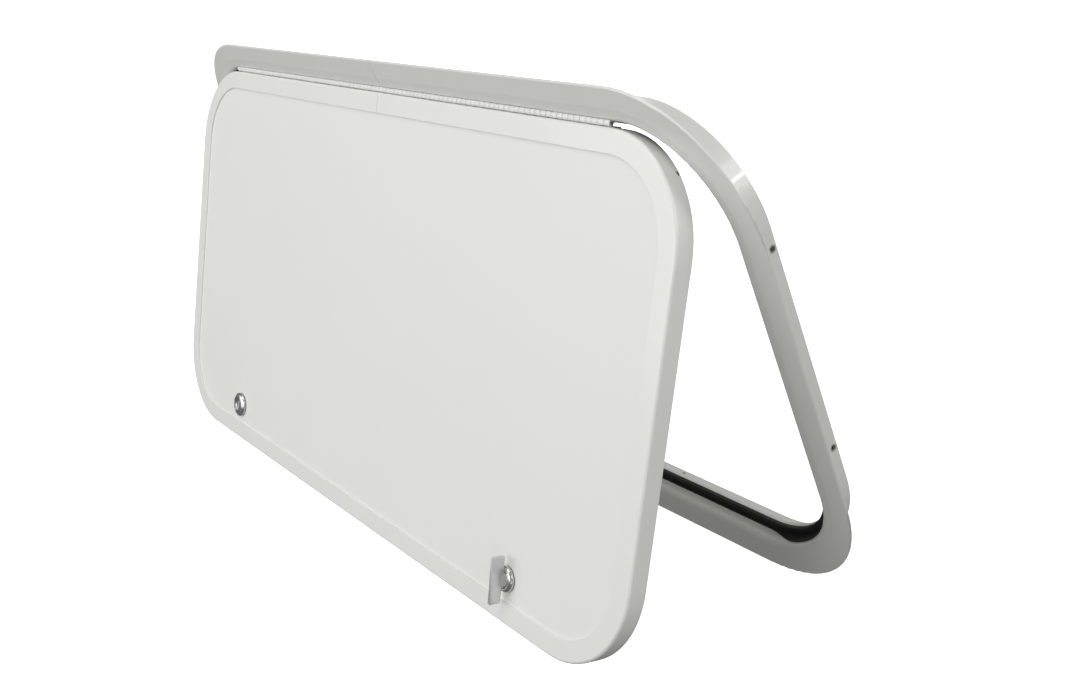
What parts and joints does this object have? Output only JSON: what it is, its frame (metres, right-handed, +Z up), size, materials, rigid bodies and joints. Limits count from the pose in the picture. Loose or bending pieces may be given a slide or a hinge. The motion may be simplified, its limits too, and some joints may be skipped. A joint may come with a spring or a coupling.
{
  "type": "access door",
  "caption": "Top-hung rounded-corner access door in its flanged wall frame, with a full-width piano hinge, a keyed cam lock and a thumb-turn cam latch.",
  "frame": {"origin": "middle of the frame on the wall plane, which the flange's back face lies on", "axes": "+X along the width, to the right seen from outside; +Y through the wall, inwards; +Z up, towards the hinge"},
  "size_m": [0.813, 0.2387, 0.431],
  "materials": {
    "frame_paint": "satin white powder coat",
    "door_paint": "satin white powder coat",
    "door_skin": "smooth white gel coat, semi-gloss",
    "seal_rubber": "matte black foam rubber",
    "core_foam": "rigid foam board",
    "hinge_paint": "satin white",
    "lock_chrome": "bright chrome plate",
    "fin_steel": "satin nickel plate",
    "zinc_steel": "bright zinc plate",
    "tumbler_brass": "plain brass",
    "rivet_aluminium": "plain aluminium",
    "gasket_rubber": "matte black"
  },
  "bodies": {
    "frame": {"frame": "frame_paint", "frame_seal": "seal_rubber", "frame_joiner": "rivet_aluminium", "frame_joiner_rivets": "rivet_aluminium", "hinge_frame_sheet": "hinge_paint", "hinge_frame_rivets": "rivet_aluminium", "hinge_pin": "zinc_steel"},
    "door": {"door_edging": "door_paint", "door_edging_joiner": "rivet_aluminium", "door_edging_screws": "zinc_steel", "door_outer_skin": "door_skin", "door_core": "core_foam", "door_inner_skin": "door_skin", "hinge_door_sheet": "hinge_paint", "hinge_door_rivets": "rivet_aluminium", "key_lock_housing": "lock_chrome", "key_lock_gasket": "gasket_rubber", "key_lock_washer": "zinc_steel", "key_lock_nut": "zinc_steel", "thumb_latch_housing": "lock_chrome", "thumb_latch_gasket": "gasket_rubber", "thumb_latch_washer": "zinc_steel", "thumb_latch_nut": "zinc_steel"},
    "key_turn": {"key_lock_plug": "lock_chrome", "key_lock_tumblers": "tumbler_brass", "key_lock_cam": "zinc_steel", "key_lock_cam_washer": "zinc_steel", "key_lock_cam_screw": "zinc_steel"},
    "thumb_turn": {"thumb_turn": "fin_steel", "thumb_latch_cam": "zinc_steel", "thumb_latch_cam_washer": "zinc_steel", "thumb_latch_cam_screw": "zinc_steel"}
  },
  "joints": [
    {"name": "door_hinge", "type": "hinge", "parent": "frame", "child": "door", "pos_m": [0, -0.0003, 0.1881], "axis": [-1, 0, 0], "range_deg": [-33.6, 66.4]},
    {"name": "key_turn", "type": "hinge", "parent": "door", "child": "key_turn", "pos_m": [-0.24, -0.18876, -0.09321], "axis": [0, 0.8329, -0.5534], "range_deg": [0, 90]},
    {"name": "thumb_turn", "type": "hinge", "parent": "door", "child": "thumb_turn", "pos_m": [0.2428, -0.18876, -0.09321], "axis": [0, -0.8329, 0.5534], "range_deg": [0, 90]}
  ]
}
